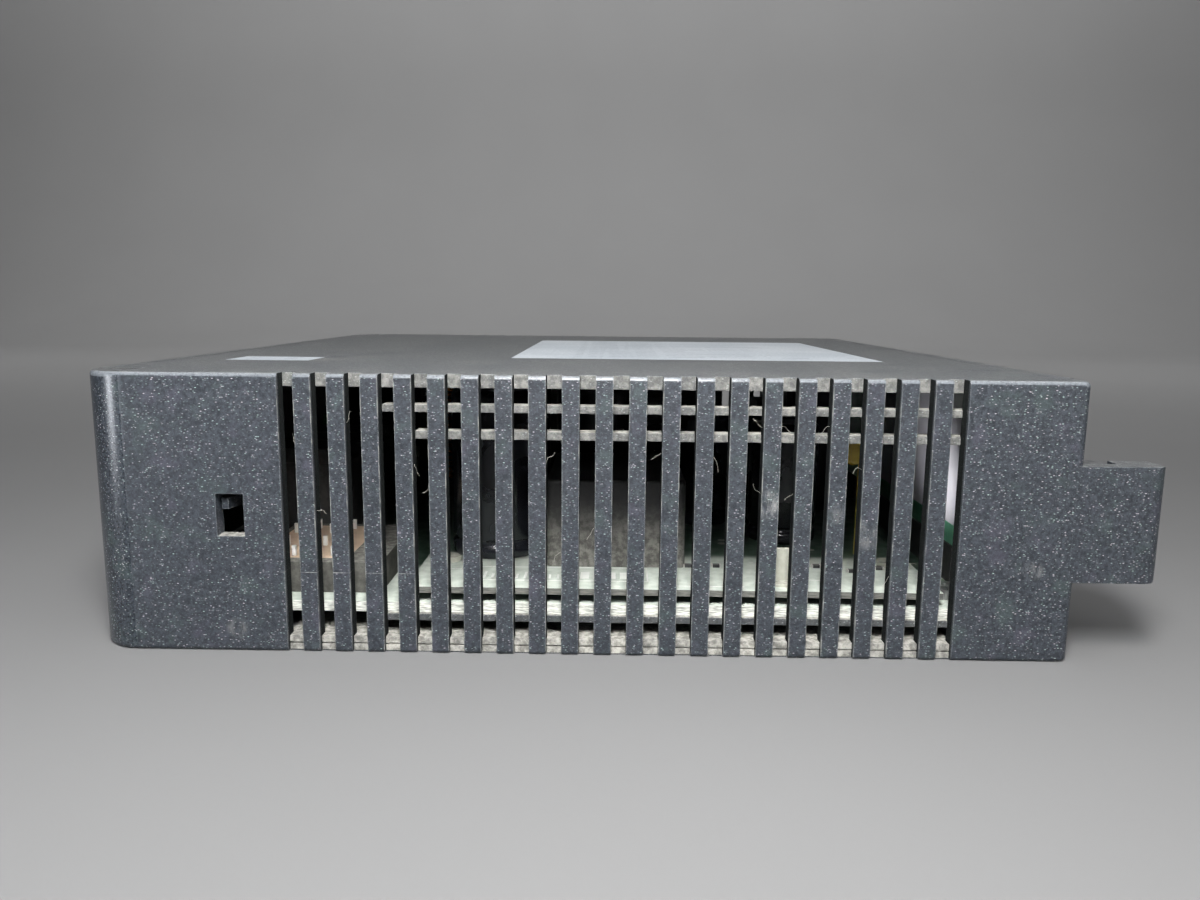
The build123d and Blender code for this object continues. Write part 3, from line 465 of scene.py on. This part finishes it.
# Foot of the potted module, where its dust thickens into a pale band of painted light on the lower part
MODULE_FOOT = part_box("potted_module")[0]
MATERIALS = {
    "case_plastic": case_plastic(),
    "board_green": circuit_board(
        "board_green", (0.022, 0.060, 0.036), (0.035, 0.085, 0.050), dust=1.0, core=(0.66, 0.67, 0.61)
    ),
    "board_pale": circuit_board(
        "board_pale", (0.030, 0.062, 0.040), (0.045, 0.085, 0.055), dust=0.95, core=(0.12, 0.118, 0.105)
    ),
    "board_upright": circuit_board(
        "board_upright", (0.15, 0.44, 0.29), (0.19, 0.50, 0.33),
        dust=0.1, core=(0.5, 0.48, 0.36), upright=True,
    ),
    "label_white": label_paper("label_white", *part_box("rating_label")),
    "edge_label_white": label_paper("edge_label_white", *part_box("edge_label")),
    "steel": metal("steel", (0.30, 0.30, 0.30), (0.58, 0.58, 0.57), 0.34),
    "tin": metal("tin", (0.55, 0.54, 0.50), (0.82, 0.81, 0.78), 0.3, dust=0.2),
    "aluminium": metal(
        "aluminium", (0.42, 0.43, 0.44), (0.66, 0.67, 0.69), 0.38, brushed=(1.0, 1.0, 12.0), dust=0.3
    ),
    "black_plastic": moulded(
        "black_plastic", (0.018, 0.019, 0.021), (0.035, 0.037, 0.041), 0.45, dust=0.25
    ),
    "clamp_plastic": moulded("clamp_plastic", (0.022, 0.024, 0.028), (0.045, 0.048, 0.055), 0.5, dust=0.12),
    "grey_plastic": moulded("grey_plastic", (0.040, 0.040, 0.035), (0.070, 0.070, 0.062), 0.55, dust=0.6),
    "peach_plastic": moulded("peach_plastic", (0.62, 0.44, 0.30), (0.78, 0.60, 0.44), 0.5, dust=0.12),
    "potting": moulded(
        "potting", (0.007, 0.007, 0.008), (0.015, 0.015, 0.016), 0.5,
        grain=900.0, bump=0.1, dust=0.55, edge=0.5, foot=MODULE_FOOT,
    ),
    "sleeve": moulded(
        "sleeve", (0.007, 0.008, 0.012), (0.014, 0.016, 0.022), 0.24, dust=0.02, specular=0.6
    ),
    "disc_lacquer": moulded(
        "disc_lacquer", (0.36, 0.25, 0.03), (0.52, 0.38, 0.06), 0.25, dust=0.1, specular=0.6
    ),
    "film_box": moulded("film_box", (0.08, 0.065, 0.02), (0.12, 0.10, 0.03), 0.35, dust=0.05),
    "ferrite": moulded(
        "ferrite", (0.032, 0.032, 0.034), (0.06, 0.06, 0.063), 0.6, grain=700.0, bump=0.08, dust=0.3
    ),
    "black_anodised": metal(
        "black_anodised", (0.010, 0.010, 0.011), (0.022, 0.022, 0.024), 0.5, (1.0, 1.0, 12.0)
    ),
    "pin_tin": moulded(
        "pin_tin", (0.80, 0.79, 0.74), (0.92, 0.91, 0.88), 0.3,
        grain=2500.0, bump=0.01, dust=0.1, specular=1.0,
    ),
    "copper_wire": metal("copper_wire", (0.33, 0.11, 0.04), (0.62, 0.25, 0.09), 0.25),
    "tape": taped_coil("tape"),
    "glass": sheet_plastic(
        "glass", (0.80, 0.84, 0.84), (0.88, 0.90, 0.90), 0.08, Transmission_Weight=0.9, IOR=1.5
    ),
    "cream_plastic": moulded("cream_plastic", (0.36, 0.37, 0.31), (0.46, 0.46, 0.39), 0.5, dust=0.6),
    "lilac_panel": sheet_plastic("lilac_panel", (0.52, 0.51, 0.57), (0.66, 0.65, 0.70), 0.35),
    "light_lens": sheet_plastic(
        "light_lens", (0.10, 0.42, 0.14), (0.16, 0.55, 0.20), 0.2, Transmission_Weight=0.35
    ),
    "terminal_plastic": moulded(
        "terminal_plastic", (0.03, 0.032, 0.034), (0.055, 0.057, 0.06), 0.5, dust=0.25
    ),
    "trimmer_blue": moulded("trimmer_blue", (0.015, 0.06, 0.25), (0.03, 0.10, 0.36), 0.3),
    "print_white": moulded("print_white", (0.62, 0.64, 0.60), (0.74, 0.75, 0.71), 0.6, 3000.0, 0.01, 0.1),
    "lint": moulded("lint", (0.40, 0.39, 0.34), (0.58, 0.56, 0.50), 0.8, 3000.0, 0.01, 0.1),
    "rotor_white": moulded("rotor_white", (0.58, 0.57, 0.53), (0.70, 0.69, 0.66), 0.4),
}
SPECIAL = {
    "rear_board": "board_upright",
    "edge_label": "edge_label_white",
    "rail_saddle": "clamp_plastic",
    "rail_latch": "clamp_plastic",
    "heat_sink_primary": "black_anodised",
    "heat_sink_output": "black_anodised",
    "header_pins": "pin_tin",
}

node_slots = {part["node"]: part["material_slot"] for part in frame["record"]["subparts"]}
for node_name, obj in frame["nodes"].items():
    material = MATERIALS[SPECIAL.get(node_name, node_slots[node_name])]
    for slot in obj.material_slots:
        slot.material = material
    if not obj.material_slots:
        obj.data.materials.append(material)

# ------------------------------------------------------------------ mesh tools


def add_piece(name, data, material, rides=True):
    """A new piece with its material, on the case unless it bends with a joint."""
    obj = bpy.data.objects.new(name, data)
    data.materials.append(MATERIALS[material])
    bpy.context.collection.objects.link(obj)
    if rides:
        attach(obj, RIDES_ON)
    return obj


def mesh_of(bm, name, smooth=True):
    mesh = bpy.data.meshes.new(name)
    bmesh.ops.recalc_face_normals(bm, faces=bm.faces)
    bm.to_mesh(mesh)
    bm.free()
    for polygon in mesh.polygons:
        polygon.use_smooth = smooth
    return mesh


def islands(node):
    """The box of each separate solid in a CAD node, in order along X and then Y."""
    mesh = frame["nodes"][node].data
    bm = bmesh.new()
    bm.from_mesh(mesh)
    bmesh.ops.remove_doubles(bm, verts=bm.verts, dist=0.01 * MM)
    left = set(bm.verts)
    boxes = []
    while left:
        front = [left.pop()]
        places = []
        while front:
            vert = front.pop()
            places.append(vert.co.copy())
            for edge in vert.link_edges:
                other = edge.other_vert(vert)
                if other in left:
                    left.remove(other)
                    front.append(other)
        lowest = Vector([min(place[axis] for place in places) for axis in range(3)])
        highest = Vector([max(place[axis] for place in places) for axis in range(3)])
        boxes.append((lowest, highest))
    bm.free()
    return sorted(boxes, key=lambda box: (round(box[0].x, 4), round(box[0].y, 4)))


def lathe(bm, centre, profile, segments=48):
    """Turns a list of (radius, height) points about an upright axis; a radius of 0 makes a tip."""
    rings = []
    for radius, height in profile:
        if radius == 0.0:
            rings.append([bm.verts.new(centre + Vector((0.0, 0.0, height)))])
            continue
        ring = []
        for index in range(segments):
            angle = 2 * math.pi * index / segments
            offset = Vector((radius * math.cos(angle), radius * math.sin(angle), height))
            ring.append(bm.verts.new(centre + offset))
        rings.append(ring)
    for first, second in zip(rings, rings[1:]):
        for index in range(segments):
            after = (index + 1) % segments
            corners = [first[index % len(first)], first[after % len(first)]]
            corners += [second[after % len(second)], second[index % len(second)]]
            bm.faces.new(list(dict.fromkeys(corners)))


def soft_box(bm, low, high, radius):
    """Adds a box with rounded edges."""
    centre = (Vector(low) + Vector(high)) / 2
    size = Vector(high) - Vector(low)
    made = bmesh.ops.create_cube(bm, size=1.0)["verts"]
    for vert in made:
        vert.co = centre + Vector([vert.co[axis] * size[axis] for axis in range(3)])
    edges = list({edge for vert in made for edge in vert.link_edges})
    bmesh.ops.bevel(bm, geom=edges, offset=radius, segments=2, profile=0.5, affect="EDGES")


def tube(name, paths, radius, cyclic=False):
    """Round wires along smooth paths, as one curve."""
    curve = bpy.data.curves.new(name, "CURVE")
    curve.dimensions = "3D"
    curve.bevel_depth = radius
    curve.bevel_resolution = 3
    curve.resolution_u = 4
    curve.use_fill_caps = True
    for path in paths:
        spline = curve.splines.new("NURBS")
        spline.points.add(len(path) - 1)
        for point, place in zip(spline.points, path):
            point.co = (*place, 1.0)
        spline.order_u = 3
        spline.use_endpoint_u = not cyclic
        spline.use_cyclic_u = cyclic
    return curve


# ------------------------------------------------------------------ capacitors

SLEEVE_LIP = 1.3 * MM


def capacitors(node):
    """Cans in shrink sleeves, with a bare pressed top and its three vent scores."""
    sleeves = bmesh.new()
    tops = bmesh.new()
    scores = []
    for lowest, highest in islands(node):
        middle = (lowest + highest) / 2
        foot = Vector((middle.x, middle.y, lowest.z))
        radius = (highest.x - lowest.x) / 2
        tall = highest.z - lowest.z
        lathe(sleeves, foot, [
            (0.0, 0.0), (radius - 0.7 * MM, 0.0), (radius - 0.15 * MM, 0.25 * MM), (radius, 0.8 * MM),
            (radius, 1.9 * MM), (radius - 0.35 * MM, 2.3 * MM), (radius - 0.6 * MM, 2.7 * MM),
            (radius - 0.35 * MM, 3.1 * MM), (radius, 3.5 * MM), (radius, tall - 1.1 * MM),
            (radius - 0.25 * MM, tall - 0.4 * MM), (radius - 0.8 * MM, tall - 0.05 * MM),
            (radius - SLEEVE_LIP, tall), (radius - SLEEVE_LIP, tall - 0.2 * MM),
        ])
        lathe(tops, foot, [
            (radius - 1.0 * MM, tall - 0.3 * MM), (radius - SLEEVE_LIP - 0.2 * MM, tall - 0.22 * MM),
            (radius - SLEEVE_LIP - 0.5 * MM, tall - 0.5 * MM), (0.0, tall - 0.5 * MM),
        ])
        for turn in range(3):
            angle = math.radians(90 + 120 * turn)
            along = Vector((math.cos(angle), math.sin(angle), 0.0))
            start = foot + Vector((0.0, 0.0, tall - 0.48 * MM))
            reach = radius - SLEEVE_LIP - 1.2 * MM
            scores.append([start + along * (reach * part / 3) for part in range(4)])
    sleeve = add_piece(node + "_sleeves", mesh_of(sleeves, node + "_sleeves"), "sleeve")
    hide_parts(node)
    add_piece(node + "_tops", mesh_of(tops, node + "_tops"), "aluminium")
    add_piece(node + "_vents", tube(node + "_vents", scores, 0.12 * MM), "aluminium")


capacitors("bulk_capacitors")
capacitors("output_capacitors")

# ------------------------------------------------------------------ chokes

WIRE = 0.45 * MM


def ring_turns(core_node, axis, arcs, turns):
    """Wire wound round a ring core, as one path for each arc."""
    lowest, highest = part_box(core_node)
    centre = (lowest + highest) / 2
    side = Vector((0.0, 1.0, 0.0))
    section = (highest - lowest).dot(axis) / 2
    ring = (highest.y - lowest.y) / 2 - section
    wound = section + 0.15 * MM + WIRE
    paths = []
    for start, sweep in arcs:
        path = []
        for step in range(turns * 10 + 1):
            about = math.radians(start + sweep * step / (turns * 10))
            radial = Matrix.Rotation(about, 3, axis) @ side
            spin = 2 * math.pi * step / 10
            path.append(centre + radial * (ring + wound * math.cos(spin)) + axis * (wound * math.sin(spin)))
        paths.append(path)
    return paths


line_turns = ring_turns("line_choke_core", Vector((1.0, 0.0, 0.0)), ((-58, 116), (122, 116)), 16)
line_wire = add_piece("line_choke_wire", tube("line_choke_wire", line_turns, WIRE), "copper_wire")
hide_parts("line_choke_windings")
output_turns = ring_turns("output_choke_core", Vector((0.0, 0.0, 1.0)), ((22, 316),), 30)
output_wire = add_piece("output_choke_wire", tube("output_choke_wire", output_turns, WIRE), "copper_wire")
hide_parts("output_choke_winding")

# ------------------------------------------------------------------ latch spring

SPRING_WIRE = 0.25 * MM
SPRING_PITCH = 1.48 * MM
WIRE_SIDES = 10
STEPS_A_TURN = 24


def latch_coil():
    """The compression spring, which closes up between the case's peg and the latch."""
    lowest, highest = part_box("latch_spring")
    middle = (lowest + highest) / 2
    radius = (highest.z - lowest.z) / 2 - SPRING_WIRE
    start = Vector((middle.x, lowest.y + SPRING_WIRE, middle.z))
    length = highest.y - lowest.y - 2 * SPRING_WIRE
    steps = round(length / SPRING_PITCH * STEPS_A_TURN)
    along = Vector((0.0, 1.0, 0.0))
    bm = bmesh.new()
    rings = []
    for step in range(steps + 1):
        angle = 2 * math.pi * step / STEPS_A_TURN
        outward = Vector((math.cos(angle), 0.0, math.sin(angle)))
        centre = start + outward * radius + along * (length * step / steps)
        ring = []
        for side in range(WIRE_SIDES):
            round_wire = 2 * math.pi * side / WIRE_SIDES
            offset = outward * math.cos(round_wire) + along * math.sin(round_wire)
            ring.append(bm.verts.new(centre + offset * SPRING_WIRE))
        rings.append(ring)
    for first, second in zip(rings, rings[1:]):
        for side in range(WIRE_SIDES):
            after = (side + 1) % WIRE_SIDES
            bm.faces.new((first[side], first[after], second[after], second[side]))
    bm.faces.new(rings[0])
    bm.faces.new(rings[-1])
    coil = add_piece("latch_spring_coil", mesh_of(bm, "latch_spring_coil"), "steel", rides=False)
    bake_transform(coil)
    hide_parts("latch_spring")


latch_coil()

# ------------------------------------------------------------------ print and small parts on the boards

INK = 0.03 * MM
UPPER_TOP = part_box("upper_board")[1].z


def flat_marks(name, marks, material):
    """Thin printed marks on the upper board, each given by its spans in X and Y in mm."""
    bm = bmesh.new()
    for x_from, x_to, y_from, y_to in marks:
        low_corner = (DATUM + x_from * MM, NEAR + y_from * MM, UPPER_TOP)
        high_corner = (DATUM + x_to * MM, NEAR + y_to * MM, UPPER_TOP + INK)
        soft_box(bm, low_corner, high_corner, 0.01 * MM)
    add_piece(name, mesh_of(bm, name, smooth=False), material)


# Spans in mm: X from the datum, then Y from the near end
PRINT_AREA = [
    (53.3, 82.3, 7.0, 7.3),
    (53.3, 82.3, 14.2, 14.5),
    (53.3, 53.6, 7.0, 14.5),
    (82.0, 82.3, 7.0, 14.5),
]
TICKS = [(56.0 + 1.3 * index, 56.4 + 1.3 * index, 8.2, 10.4 if index % 5 else 11.6) for index in range(11)]
BLOCKS = [(71.5 + 2.1 * index, 72.9 + 2.1 * index, 8.4, 11.8) for index in range(5)]
STROKES = [
    (48.0, 52.0, 12.8, 13.0),
    (84.0, 97.0, 5.0, 5.3),
    (90.0, 90.3, 5.0, 12.0),
    (106.0, 112.0, 9.0, 9.3),
]
flat_marks("board_print", PRINT_AREA + TICKS + BLOCKS + STROKES, "print_white")


CHIP_PLACES = 14
CHIP_PITCH = 2.7
CLIP_X = (DATUM + 98 * MM, DATUM + 107 * MM)


def chip_parts():
    """Chip resistors and capacitors on the upper board's free strip, with tinned ends."""
    dice = random.Random(11)
    bodies = bmesh.new()
    ends = bmesh.new()
    long, wide, high = 0.8 * MM, 0.42 * MM, 0.5 * MM
    for index in range(CHIP_PLACES):
        x = DATUM + (86.0 + CHIP_PITCH * index + dice.uniform(-0.5, 0.5)) * MM
        y = NEAR + dice.uniform(13.5, 18.0) * MM
        if CLIP_X[0] < x < CLIP_X[1]:
            continue
        body_low = (x - long * 0.7, y - wide, UPPER_TOP)
        body_high = (x + long * 0.7, y + wide, UPPER_TOP + high)
        soft_box(bodies, body_low, body_high, 0.05 * MM)
        for side in (-1, 1):
            edge = sorted((x + side * long * 0.68, x + side * long))
            end_low = (edge[0], y - wide, UPPER_TOP)
            end_high = (edge[1], y + wide, UPPER_TOP + high * 1.04)
            soft_box(ends, end_low, end_high, 0.06 * MM)
    add_piece("chip_bodies", mesh_of(bodies, "chip_bodies", smooth=False), "black_plastic")
    add_piece("chip_ends", mesh_of(ends, "chip_ends", smooth=False), "tin")


chip_parts()

# ------------------------------------------------------------------ lint caught in the slots


HAIR_SLOTS = (0, 1, 2, 4, 4, 6, 8, 8, 9, 11, 13, 14, 14, 15, 15, 16, 17, 18, 19)
HAIR_BENDS = 6
HAIR_RADIUS = 0.024 * MM


def slot_lint():
    """Fine hairs that cling to the slats' side walls and to the bars."""
    dice = random.Random(5)
    hairs = []
    for number in HAIR_SLOTS:
        left = FIRST_SLOT + number * SLOT_PITCH
        start_x = left + dice.choice((0.05, 0.95)) * SLOT_WIDTH
        inward = 1 if start_x < left + SLOT_WIDTH / 2 else -1
        place = Vector((start_x, NEAR + dice.uniform(0.3, 1.0) * MM, dice.uniform(12.0, 36.0) * MM))
        heading = dice.uniform(-1.2, 1.2)
        path = [place.copy()]
        for _ in range(HAIR_BENDS):
            heading += dice.uniform(-0.7, 0.7)
            reach = dice.uniform(0.25, 0.55) * MM
            sideways = inward * abs(math.cos(heading)) * reach * 0.6
            place = place + Vector((sideways, 0.05 * MM, math.sin(heading) * reach))
            path.append(place.copy())
        hairs.append(path)
    add_piece("slot_lint", tube("slot_lint", hairs, HAIR_RADIUS), "lint")


slot_lint()

# ------------------------------------------------------------------ stage, light and camera

FLOOR_GREY = (0.142, 0.142, 0.142)
BACKDROP_RADIUS = 0.35
BACKDROP_AT = 0.75
BACKDROP_STEPS = 12
BACKDROP_HEIGHT = 3.0
FLOOR_REACH = 9.0


def stage_material():
    """Plain grey; far out, where the lights don't reach, it glows a little to stay as pale."""
    s = Shader("stage")
    x, y, _ = s.split(s.place)
    away = s.math("SQRT", s.math("ADD", s.times(x, x), s.times(y, y)))
    s.surface.inputs["Emission Color"].default_value = (0.97, 0.98, 1.0, 1.0)
    s.feed(s.surface.inputs["Emission Strength"], s.step(away, 1.2, 4.0, 0.0, 0.17))
    tone = s.noise(9.0, 2.0)
    darker, paler = (tuple(share * value for value in FLOOR_GREY) for share in (0.96, 1.04))
    colour = s.mix(tone, darker, paler)
    return s.finish(colour, 0.85, Specular_IOR_Level=0.2)


def sweep_backdrop():
    """Floor that curves up into a plain wall behind the object."""
    profile = [(-FLOOR_REACH, 0.0), (BACKDROP_AT, 0.0)]
    for step in range(1, BACKDROP_STEPS + 1):
        angle = step / BACKDROP_STEPS * math.pi / 2
        out = BACKDROP_RADIUS * math.sin(angle)
        up = BACKDROP_RADIUS * (1 - math.cos(angle))
        profile.append((BACKDROP_AT + out, up))
    profile.append((BACKDROP_AT + BACKDROP_RADIUS, BACKDROP_HEIGHT))
    mesh = bpy.data.meshes.new("backdrop")
    verts = [(side, y, z) for y, z in profile for side in (-FLOOR_REACH, FLOOR_REACH)]
    faces = [(2 * i, 2 * i + 1, 2 * i + 3, 2 * i + 2) for i in range(len(profile) - 1)]
    mesh.from_pydata(verts, [], faces)
    for polygon in mesh.polygons:
        polygon.use_smooth = True
    obj = bpy.data.objects.new("backdrop", mesh)
    obj.data.materials.append(stage_material())
    bpy.context.collection.objects.link(obj)


def area_light(name, place, target, size, power, colour=(1.0, 1.0, 1.0), spread=180.0):
    light = bpy.data.lights.new(name, "AREA")
    light.shape = "RECTANGLE"
    light.size, light.size_y = size
    light.energy = power
    light.color = colour
    light.spread = math.radians(spread)
    obj = bpy.data.objects.new(name, light)
    obj.location = place
    obj.rotation_euler = (Vector(target) - Vector(place)).to_track_quat("-Z", "Y").to_euler()
    obj.visible_camera = False
    bpy.context.collection.objects.link(obj)


CAMERA_PLACE = Vector((DATUM + 76.19 * MM, NEAR - 131.35 * MM, 52.84 * MM))


def studio_light():
    above_camera = CAMERA_PLACE + Vector((0.0, 0.0, 0.112))
    by_shield = (DATUM + 117 * MM, NEAR + 10 * MM, 0.0145)
    shield = (DATUM + 132 * MM, NEAR + 22 * MM, 0.025)
    area_light("key", above_camera, (0.0, -0.070, 0.02), (0.045, 0.09), 1.15)
    area_light("by_shield", by_shield, shield, (0.005, 0.005), 0.0008, spread=50.0)
    area_light("strip", (0.0, -0.24, 0.50), (0.0, -0.06, 0.04), (0.9, 0.15), 1.2)
    area_light("overhead", (0.0, 0.20, 0.95), (0.0, 0.1, 0.0), (1.3, 0.9), 4.2)
    area_light("wall_wash", (0.0, 0.45, 0.75), (0.0, 1.1, 0.35), (1.6, 0.4), 15.5)
    area_light("behind_camera", (0.0, -1.9, 1.5), (0.0, -2.3, 0.0), (4.0, 1.6), 9.0, spread=110.0)
    right_card = (-FRONT + 0.16, NEAR - 0.20, 0.08)
    area_light("right_card", right_card, (-FRONT - 0.02, NEAR, 0.025), (0.12, 0.12), 0.16)
    left_card = (FRONT - 0.17, NEAR - 0.12, 0.045)
    area_light("left_card", left_card, (FRONT, NEAR, 0.035), (0.05, 0.085), 0.24, (0.90, 0.94, 1.0))
    world = bpy.data.worlds.new("studio")
    world.use_nodes = True
    world.node_tree.nodes["Background"].inputs["Color"].default_value = (0.80, 0.82, 0.85, 1.0)
    world.node_tree.nodes["Background"].inputs["Strength"].default_value = 0.16
    bpy.context.scene.world = world
    bpy.context.scene.view_settings.view_transform = "Standard"


CAMERA_YAW = math.radians(-0.718)
CAMERA_PITCH = math.radians(9.216)
CAMERA_ROLL = math.radians(0.555)
CAMERA_LENS = 27.44


def photo_camera():
    camera = bpy.data.cameras.new("camera")
    camera.lens = CAMERA_LENS
    camera.sensor_width = 36.0
    camera.clip_start = 0.01
    obj = bpy.data.objects.new("camera", camera)
    level = math.cos(CAMERA_PITCH)
    forward = Vector((math.sin(CAMERA_YAW) * level, math.cos(CAMERA_YAW) * level, -math.sin(CAMERA_PITCH)))
    right = Vector((math.cos(CAMERA_YAW), -math.sin(CAMERA_YAW), 0.0))
    up = right.cross(forward)
    rolled_right = right * math.cos(CAMERA_ROLL) + up * math.sin(CAMERA_ROLL)
    rolled_up = up * math.cos(CAMERA_ROLL) - right * math.sin(CAMERA_ROLL)
    turn = Matrix((rolled_right, rolled_up, -forward)).transposed()
    obj.matrix_world = Matrix.Translation(CAMERA_PLACE) @ turn.to_4x4()
    bpy.context.collection.objects.link(obj)
    bpy.context.scene.camera = obj


sweep_backdrop()
studio_light()
photo_camera()
